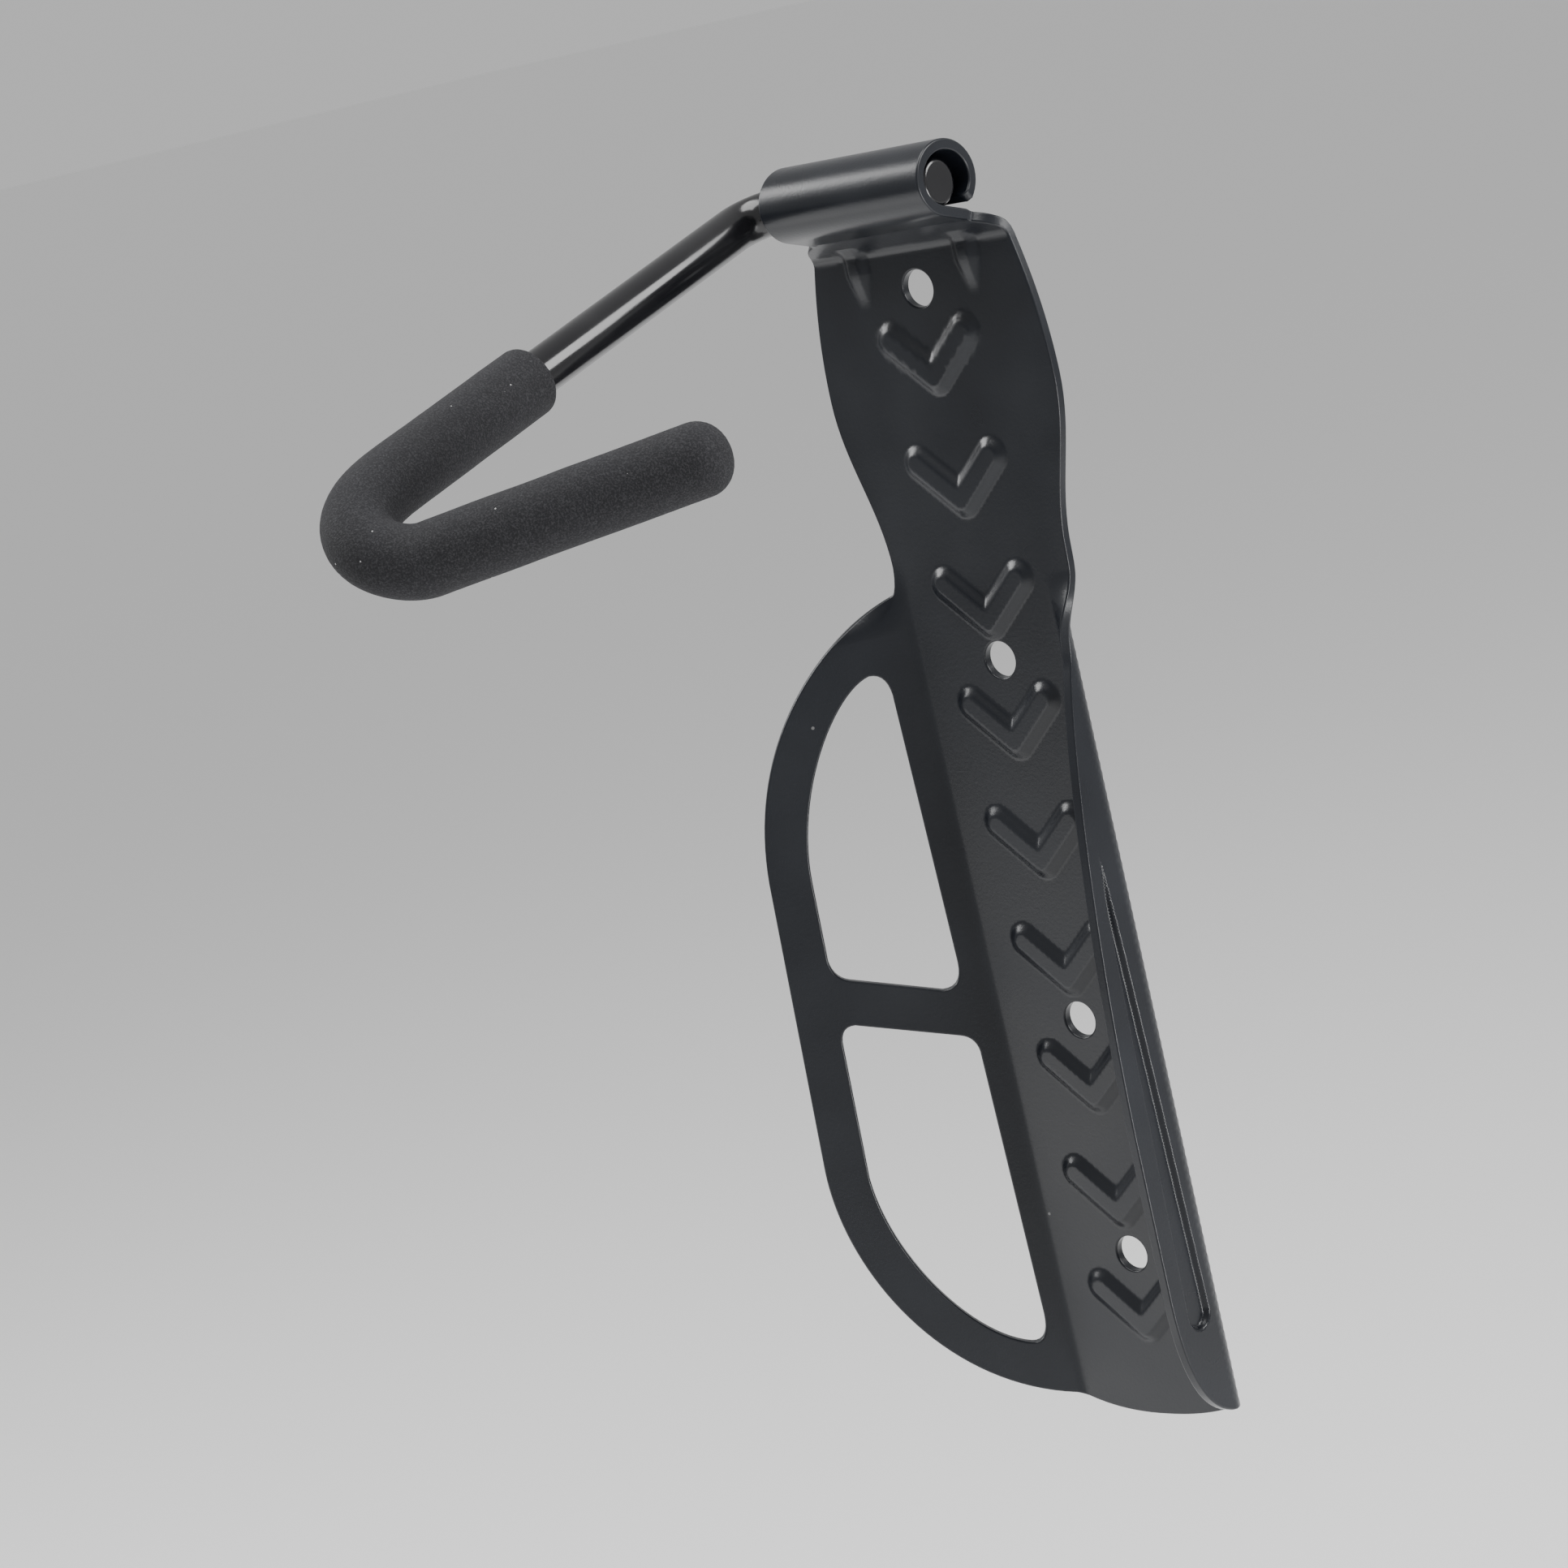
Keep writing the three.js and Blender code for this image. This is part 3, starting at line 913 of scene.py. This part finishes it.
    def fill_points(self, inset: list[Array]) -> Array:
        """Points inside the blank, closer together over the pressed features."""
        coarse = self.grid(self.pitch, (-75, -262), (40, self.barrel.end))
        over_chevrons = (self.fine_pitch, (-15.5, -250), (15.5, -18))
        over_bead = (self.bead_pitch, (21.5, -238), (31.5, -120))
        over_gussets = (self.fine_pitch, (-20, -4), (20, 17))
        keep = np.ones(len(coarse), bool)
        sets = []
        for pitch, low, high in (over_chevrons, over_bead, over_gussets):
            near_low = coarse > np.array(low) - self.rim_gap
            near_high = coarse < np.array(high) + self.rim_gap
            keep &= ~np.all(near_low & near_high, axis=1)
            sets.append(self.grid(pitch, low, high))
        points = np.concatenate([coarse[keep], *sets])
        points = points[inside(points, inset)]
        rim = np.concatenate(inset)
        clear = np.ones(len(points), bool)
        batch = 4000
        for start in range(0, len(points), batch):
            part = points[start : start + batch]
            gap = ((part[:, None, :] - rim[None, :, :]) ** 2).sum(axis=2).min(axis=1)
            clear[start : start + batch] = gap > self.rim_gap**2
        return points[clear]

    def build(self, finish: Material) -> Object:
        """Meshes the blank, lays it on both faces of the sheet and closes its edges.

        Args:
            finish: The sheet's material.

        Returns:
            The sheet's object.
        """
        loops = self.loops()
        normals = [outward(loop) for loop in loops]
        inset = [loop - normal * self.edge_radius for loop, normal in zip(loops, normals)]
        fill = self.fill_points(inset)
        rim = np.concatenate(inset)
        points = np.concatenate([rim, fill])
        edges = []
        offset = 0
        for loop in inset:
            count = len(loop)
            edges += [(offset + i, offset + (i + 1) % count) for i in range(count)]
            offset += count
        vectors = [Vector((float(x), float(z))) for x, z in points]
        found = geometry.delaunay_2d_cdt(vectors, edges, [], 2, JOIN_GAP)
        flat = np.array([tuple(v) for v in found[0]])
        triangles = np.array([tuple(t) for t in found[2]])
        middle = flat[triangles].mean(axis=1)
        triangles = triangles[inside(middle, inset)]
        a, b, c = (flat[triangles[:, k]] for k in range(3))
        area = (b[:, 0] - a[:, 0]) * (c[:, 1] - a[:, 1]) - (b[:, 1] - a[:, 1]) * (c[:, 0] - a[:, 0])
        triangles[area < 0] = triangles[area < 0][:, ::-1]
        home = {}
        for index, sources in enumerate(found[3]):
            for source in sources:
                home[source] = index
        vertices, facing, faces = self._close(flat, triangles, loops, normals, home)
        return mesh_object("backplate_sheet", vertices, faces, finish, facing)

    def _close(
        self, flat: Array, triangles: Array, loops: list[Array], normals: list[Array], home: dict[int, int]
    ) -> tuple[Array, Array, list[tuple[int, ...]]]:
        """Joins the front and back faces with rounded edges.

        Args:
            flat: The blank's vertices.
            triangles: Its triangles, counter-clockwise.
            loops: The true outlines.
            normals: Their outward normals.
            home: The vertex that stands for each outline point, in order over all the loops.

        Returns:
            The sheet's vertices, the surface's normal at each, and its faces.
        """
        press = self.press(flat)
        count = len(flat)
        vertices = [self.lay(flat, press), self.lay(flat, press - SHEET)]
        facing = [self.directions(flat, 0.0)[2], -self.directions(flat, SHEET)[2]]
        faces = [tuple(int(v) for v in t) for t in triangles]
        faces += [tuple(int(v) + count for v in reversed(t)) for t in triangles]
        total = 2 * count
        turns = np.radians([30.0, 60.0, 90.0])
        sweep = [(turn, 1) for turn in turns] + [(turn, -1) for turn in turns[::-1]]
        start = 0
        for loop, normal in zip(loops, normals):
            size = len(loop)
            rows = [[home[start + i] for i in range(size)]]
            for turn, side in sweep:
                place, way = self._rim(loop, normal, turn, side)
                vertices.append(place)
                facing.append(way)
                rows.append(list(range(total, total + size)))
                total += size
            rows.append([home[start + i] + count for i in range(size)])
            for upper, lower in zip(rows, rows[1:]):
                for i in range(size):
                    j = (i + 1) % size
                    faces.append((upper[i], lower[i], lower[j], upper[j]))
            start += size
        return np.concatenate(vertices), np.concatenate(facing), faces

    def _rim(self, loop: Array, normal: Array, turn: float, side: int) -> tuple[Array, Array]:
        """One row of points round the sheet's rounded edge.

        Args:
            loop: The true outline.
            normal: Its outward normals.
            turn: How far round the edge's corner the row lies, from the flat face.
            side: 1 for the corner at the front face and -1 for the back.

        Returns:
            The row's places, and the surface's normals there.
        """
        below = 0.0 if side > 0 else SHEET
        spot = loop - normal * self.edge_radius * (1 - math.sin(turn))
        depth = self.press(loop) - below - side * self.edge_radius * (1 - math.cos(turn))
        across, up, front = self.directions(loop, below)
        edge = normal[:, :1] * across + normal[:, 1:] * up
        return self.lay(spot, depth), math.sin(turn) * edge + side * math.cos(turn) * front


# ---------------------------------------------------------------- hook


@dataclass
class HookPath:
    """The rod's centre line: pin, corner, near leg, return bend and tip leg."""

    pin_y: float = -10.0
    pin_z: float = 22.3
    pin_right: float = 20.6
    pin_left: float = -24.0
    leg_x: float = -32.2
    leg_slope: float = math.radians(13.9)
    leg_length: float = 125.0
    handle_in: float = 26.0
    handle_out: float = 8.0
    tip_start: tuple[float, float, float] = (-13.2, -144.5, -22.1)
    tip_azimuth: float = math.radians(35)
    tip_rise: float = math.radians(7.9)

    @property
    def leg_way(self) -> Array:
        """The near leg's direction, away from the pin."""
        return np.array([0.0, -math.cos(self.leg_slope), -math.sin(self.leg_slope)])

    @property
    def tip_way(self) -> Array:
        """The tip leg's direction, toward the tip."""
        level = math.cos(self.tip_rise)
        return np.array(
            [math.cos(self.tip_azimuth) * level, math.sin(self.tip_azimuth) * level, math.sin(self.tip_rise)]
        )

    def on_leg(self, distance: float) -> Array:
        """A point on the near leg, at a distance from the pin's axis."""
        return np.array([self.leg_x, self.pin_y, self.pin_z]) + self.leg_way * distance

    def on_tip(self, distance: float) -> Array:
        """A point on the tip leg, at a distance from the end of the return bend."""
        return np.array(self.tip_start) + self.tip_way * distance

    def corner(self) -> list[Array]:
        """Points round the corner from the pin into the near leg."""
        radius = self.pin_left - self.leg_x
        centre = self.on_leg(radius) + np.array([radius, 0.0, 0.0])
        level = np.array([1.0, 0.0, 0.0])
        return [
            centre - radius * (math.cos(turn) * self.leg_way + math.sin(turn) * level)
            for turn in np.linspace(0, math.pi / 2, 16)
        ]

    def return_bend(self) -> list[Array]:
        """Points round the return bend, from the near leg to the tip leg."""
        start = self.on_leg(self.leg_length)
        end = np.array(self.tip_start)
        leave = start + self.leg_way * self.handle_in
        arrive = end - self.tip_way * self.handle_out
        return [start] + [np.array(place) for place in bezier([start, leave, arrive, end], 39)]

    def straight(self, start: Array, end: Array, pitch: float) -> list[Array]:
        """Points along a straight stretch, both ends included."""
        count = max(2, math.ceil(float(np.linalg.norm(end - start)) / pitch) + 1)
        return [start + (end - start) * i / (count - 1) for i in range(count)]

    def points(self, start: float | None, end: float, pitch: float) -> Array:
        """The centre line from the pin's right end, or from a place on the near leg.

        Args:
            start: Distance along the near leg, or None for the whole pin.
            end: Distance along the tip leg.
            pitch: Spacing on the straight stretches.

        Returns:
            The points in order, without doubles.
        """
        line_points: list[Array] = []
        if start is None:
            right = np.array([self.pin_right, self.pin_y, self.pin_z])
            left = np.array([self.pin_left, self.pin_y, self.pin_z])
            line_points += self.straight(right, left, pitch)
            line_points += self.corner()
            start = self.pin_left - self.leg_x
        line_points += self.straight(self.on_leg(start), self.on_leg(self.leg_length), pitch)
        line_points += self.return_bend()
        line_points += self.straight(self.on_tip(0.0), self.on_tip(end), pitch)
        out = [line_points[0]]
        for point in line_points[1:]:
            if np.linalg.norm(point - out[-1]) > 0.05:
                out.append(point)
        return np.array(out)


def frames(path: Array) -> tuple[Array, Array, Array]:
    """Directions along a path and two cross directions that don't twist.

    Args:
        path: Points in order.

    Returns:
        The unit way, side and lift at each point.
    """
    way = np.gradient(path, axis=0)
    way /= np.linalg.norm(way, axis=1, keepdims=True)
    side = np.zeros_like(way)
    first = np.cross(way[0], [0.0, 0.0, 1.0])
    side[0] = first / np.linalg.norm(first)
    for i in range(1, len(path)):
        carried = side[i - 1] - way[i] * np.dot(side[i - 1], way[i])
        side[i] = carried / np.linalg.norm(carried)
    return way, side, np.cross(way, side)


def rod_tree() -> GeometryNodeTree:
    """Geometry nodes that sweep a round bar along a chain of points.

    Returns:
        The tree, with inputs Radius, Sides and Finish. The points' own "thickness" attribute
        scales the radius, so that the ends can be rounded off.
    """
    tree = bpy.data.node_groups.new("round_bar", "GeometryNodeTree")
    kinds = {"Chain": "Geometry", "Radius": "Float", "Sides": "Int", "Finish": "Material"}
    for label, kind in kinds.items():
        tree.interface.new_socket(label, in_out="INPUT", socket_type=f"NodeSocket{kind}")
    tree.interface.new_socket("Bar", in_out="OUTPUT", socket_type="NodeSocketGeometry")
    given = tree.nodes.new("NodeGroupInput")
    out = tree.nodes.new("NodeGroupOutput")
    curve = tree.nodes.new("GeometryNodeMeshToCurve")
    thickness = tree.nodes.new("GeometryNodeInputNamedAttribute")
    thickness.data_type = "FLOAT"
    thickness.inputs["Name"].default_value = "thickness"
    ring = tree.nodes.new("GeometryNodeCurvePrimitiveCircle")
    sweep = tree.nodes.new("GeometryNodeCurveToMesh")
    sweep.inputs["Fill Caps"].default_value = True
    real = tree.nodes.new("GeometryNodeRealizeInstances")
    coat = tree.nodes.new("GeometryNodeSetMaterial")
    join(tree, (given, "Chain", curve, "Mesh"), (curve, "Curve", sweep, "Curve"))
    join(tree, (given, "Sides", ring, "Resolution"), (given, "Radius", ring, "Radius"))
    join(tree, (ring, "Curve", sweep, "Profile Curve"), (thickness, "Attribute", sweep, "Scale"))
    join(tree, (sweep, "Mesh", real, "Geometry"), (real, "Geometry", coat, "Geometry"))
    join(tree, (given, "Finish", coat, "Material"), (coat, "Geometry", out, "Bar"))
    return tree


@dataclass
class HookRod:
    """The bent steel rod, swept by geometry nodes along the hook's centre line."""

    path: HookPath
    radius: float = 4.9
    sides: int = 40
    pitch: float = 1.6
    chamfer: float = 0.45
    tip_reach: float = 50.0

    def build(self, finish: Material) -> Object:
        """Sweeps the rod.

        Args:
            finish: The rod's material.

        Returns:
            The rod's object, a plain mesh.
        """
        points, thickness = self.chain()
        mesh = bpy.data.meshes.new("hook_rod_chain")
        mesh.from_pydata(points.tolist(), [(i, i + 1) for i in range(len(points) - 1)], [])
        widths = mesh.attributes.new("thickness", "FLOAT", "POINT")
        widths.data.foreach_set("value", thickness)
        carrier = link_object("hook_rod_chain", mesh)
        tree = rod_tree()
        modifier = carrier.modifiers.new("round_bar", "NODES")
        modifier.node_group = tree
        values = {"Radius": self.radius * MM, "Sides": self.sides, "Finish": finish}
        for item in tree.interface.items_tree:
            if item.in_out == "INPUT" and item.name in values:
                modifier[item.identifier] = values[item.name]
        depsgraph = bpy.context.evaluated_depsgraph_get()
        swept = bpy.data.meshes.new_from_object(carrier.evaluated_get(depsgraph))
        bpy.data.objects.remove(carrier)
        return link_smooth("hook_rod_bar", swept)

    def chain(self) -> tuple[Array, list[float]]:
        """The rod's centre line with its ends rounded off.

        Returns:
            The points in metres, and the share of the full radius at each.
        """
        spine = self.path.points(None, self.tip_reach, self.pitch)
        way, _, _ = frames(spine)
        chain: list[Array] = []
        thickness: list[float] = []
        flat = 1.0 - self.chamfer / self.radius
        # rings across the end face, which bulges a very little, and then round its edge
        for depth, width in ((-0.03, 0.3 * flat), (-0.01, 0.9 * flat), (0.0, flat)):
            chain.append(spine[0] + way[0] * depth)
            thickness.append(width)
        for share in (0.4, 0.75, 1.0):
            chain.append(spine[0] + way[0] * self.chamfer * share)
            thickness.append(1.0 - (1.0 - flat) * (1 - math.sin(share * math.pi / 2)))
        chain += list(spine[1:-1])
        thickness += [1.0] * (len(spine) - 2)
        chain.append(spine[-1])
        thickness.append(0.95)
        return in_metres(np.array(chain)), thickness


@dataclass
class FoamSleeve:
    """The foam tube over the hook: open collar on the near leg and a closed round tip.

    start is measured along the near leg and tip along the tip leg; plug is the foam beyond the bore,
    and blunt is below 1 for an end fuller than a half ball's.
    """

    path: HookPath
    start: float = 80.5
    tip: float = 56.0
    outer: float = 7.6
    bore: float = 5.0
    dome: float = 6.6
    blunt: float = 0.9
    collar: float = 1.3
    plug: float = 6.0
    sides: int = 72
    pitch: float = 0.9
    lump: float = 0.16
    lump_scale: float = 0.09
    pore: float = 0.05
    pore_scale: float = 0.9

    def build(self, finish: Material) -> Object:
        """Makes the closed tube from rings: up the bore, over the collar and along the outside.

        A station is a ring's centre, its two cross directions, its radius and whether it is outside.

        Args:
            finish: The sleeve's material.

        Returns:
            The sleeve's object.
        """
        spine = self.path.points(self.start, self.tip, self.pitch)
        way, side, lift = frames(spine)
        stations: list[Station] = []
        inner_end = len(spine) - round(self.plug / self.pitch)
        stations.append((spine[inner_end], side[inner_end], lift[inner_end], 0.0, False))
        for i in range(inner_end, -1, -1):
            stations.append((spine[i], side[i], lift[i], self.bore, False))
        first = spine[0]
        for share in np.linspace(0.15, 1.0, 6):
            radius = self.bore + (self.outer - self.collar - self.bore) * share
            stations.append((first, side[0], lift[0], radius, False))
        for turn in np.radians([25, 45, 65, 90]):
            place = first + way[0] * self.collar * (1 - math.cos(turn))
            radius = self.outer - self.collar * (1 - math.sin(turn))
            stations.append((place, side[0], lift[0], radius, True))
        for i in range(2, len(spine)):
            stations.append((spine[i], side[i], lift[i], self.outer, True))
        for turn in np.radians([8, 17, 26, 35, 44, 53, 62, 71, 80]):
            place = spine[-1] + way[-1] * self.dome * math.sin(turn)
            stations.append((place, side[-1], lift[-1], self.outer * math.cos(turn) ** self.blunt, True))
        pole = spine[-1] + way[-1] * self.dome
        stations.append((pole, side[-1], lift[-1], 0.0, False))
        vertices, faces = self._skin(stations)
        return mesh_object("foam_sleeve_tube", vertices, faces, finish)

    def _skin(self, stations: list[Station]) -> tuple[Array, list[tuple[int, ...]]]:
        """Joins the rings of a row of stations.

        Args:
            stations: The stations in order; the first and the last are poles.

        Returns:
            The skin's vertices and faces.
        """
        turns = np.linspace(0, 2 * math.pi, self.sides, endpoint=False)
        vertices: list[Array] = []
        for centre, across, up, radius, outside in stations:
            ring = np.outer(np.cos(turns), across) + np.outer(np.sin(turns), up)
            swell = np.zeros(self.sides)
            if outside:
                swell = np.array([self._lumps(Vector(centre + r * radius)) for r in ring])
            vertices.append(centre + ring * (radius + swell)[:, None])
        faces: list[tuple[int, ...]] = []
        for row in range(len(vertices) - 1):
            for i in range(self.sides):
                j = (i + 1) % self.sides
                low, high = row * self.sides, (row + 1) * self.sides
                faces.append((low + i, low + j, high + j, high + i))
        return np.concatenate(vertices), faces

    def _lumps(self, place: Vector) -> float:
        """The foam's slow swell at a point, always inward of its full radius."""
        slow = noise.noise(place * self.lump_scale)
        fine = noise.noise(place * self.pore_scale)
        return self.lump * (slow - 1.0) * 0.5 + self.pore * (fine - 1.0) * 0.5


# ---------------------------------------------------------------- studio


@dataclass
class Studio:
    """The pale floor, soft lights and the camera. Lengths are metres, but the lens and its sensor."""

    floor_drop: float = 0.62
    floor_size: float = 120.0
    azimuth: float = math.radians(43.2)
    elevation: float = math.radians(10.3)
    roll: float = math.radians(-13.07)
    lens: float = 100.62
    sensor: float = 36.0
    surround: float = 0.56
    aim: tuple[float, float, float] = (0.0, -0.05, -0.1)
    eye: tuple[float, float, float] = (0.6061, -0.7235, 0.0725)

    def floor(self) -> None:
        """A large pale floor well below the rack."""
        half = self.floor_size / 2
        corners = [(-half, -half), (half, -half), (half, half), (-half, half)]
        mesh = bpy.data.meshes.new("floor")
        mesh.from_pydata([(x, y, -self.floor_drop) for x, y in corners], [], [(0, 1, 2, 3)])
        material, shader = shaded("floor_white")
        set_inputs(shader, {"Base Color": (0.93, 0.93, 0.93, 1.0), "Roughness": 0.9})
        mesh.materials.append(material)
        link_object("floor", mesh)

    def world(self) -> None:
        """A pale even surround."""
        world = bpy.data.worlds.new("studio_surround")
        world.use_nodes = True
        back = find(world.node_tree, "ShaderNodeBackground")
        set_inputs(back, {"Color": (1.0, 1.0, 1.0, 1.0), "Strength": self.surround})
        bpy.context.scene.world = world

    def light(self, name: str, place: tuple[float, float, float], size: float, power: float) -> None:
        """A square soft light aimed at the middle of the rack.

        Args:
            name: The light's name.
            place: Where it stands, in metres.
            size: Its side, in metres.
            power: Its power, in watts.
        """
        lamp = bpy.data.lights.new(name, "AREA")
        lamp.size = size
        lamp.energy = power
        holder = link_object(name, lamp)
        way = Vector(self.aim) - Vector(place)
        holder.rotation_euler = way.to_track_quat("-Z", "Y").to_euler()
        holder.location = place

    def camera(self) -> None:
        """The camera, a little above the rack's top and turned a little about its own axis."""
        az, el, roll = self.azimuth, self.elevation, self.roll
        toward = np.array([math.sin(az) * math.cos(el), -math.cos(az) * math.cos(el), math.sin(el)])
        forward = -toward
        right = np.cross(forward, [0.0, 0.0, 1.0])
        right /= np.linalg.norm(right)
        down = np.cross(forward, right)
        turned_right = math.cos(roll) * right - math.sin(roll) * down
        turned_down = math.sin(roll) * right + math.cos(roll) * down
        camera = bpy.data.cameras.new("camera")
        camera.sensor_width = self.sensor
        camera.lens = self.lens
        camera.clip_start = 0.01
        holder = link_object("camera", camera)
        axes = Matrix([turned_right, -turned_down, toward]).transposed()
        holder.matrix_world = Matrix.Translation(self.eye) @ axes.to_4x4()
        bpy.context.scene.camera = holder

    def build(self) -> None:
        """Sets up the floor, the lights and the camera."""
        self.floor()
        self.world()
        self.light("key_left", (-1.3, -0.5, 0.9), 0.8, 24.0)
        self.light("rim_right", (0.9, 0.5, 0.5), 0.6, 12.0)
        self.light("top", (0.0, -0.25, 1.1), 0.9, 20.0)
        self.light("low_front", (-0.5, -0.6, -0.55), 0.6, 1.4)
        self.light("right_side", (1.15, -0.16, -0.42), 0.4, 9.0)
        self.camera()


# ---------------------------------------------------------------- rack


@dataclass
class WallRack:
    """The whole rack: every finished piece on its body."""

    path: HookPath = field(default_factory=HookPath)

    def put(self, piece: Object, body: Body, node: str) -> None:
        """Rides a piece on its body in place of its design node.

        Args:
            piece: The finished piece.
            body: The body that it moves with.
            node: The design node that it stands for.
        """
        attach(piece, body.value)
        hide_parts(node)
        LOG.info("%s: %d faces on %s", piece.name, len(piece.data.polygons), body.value)

    def build(self) -> None:
        """Builds and places every piece."""
        grain = grain_group()
        dust = dust_group()
        plate = BackPlate().build(POWDER_COAT.material(grain, dust))
        self.put(plate, Body.PLATE, "backplate")
        rod = HookRod(self.path).build(ROD_ENAMEL.material(grain, dust))
        self.put(rod, Body.HOOK, "hook_rod")
        sleeve = FoamSleeve(self.path).build(SLEEVE_FOAM.material(grain, dust))
        self.put(sleeve, Body.HOOK, "foam_sleeve")


def main() -> None:
    """Loads the frame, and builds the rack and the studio."""
    logging.basicConfig(level=logging.INFO)
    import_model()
    WallRack().build()
    Studio().build()


if __name__ == "__main__":
    main()
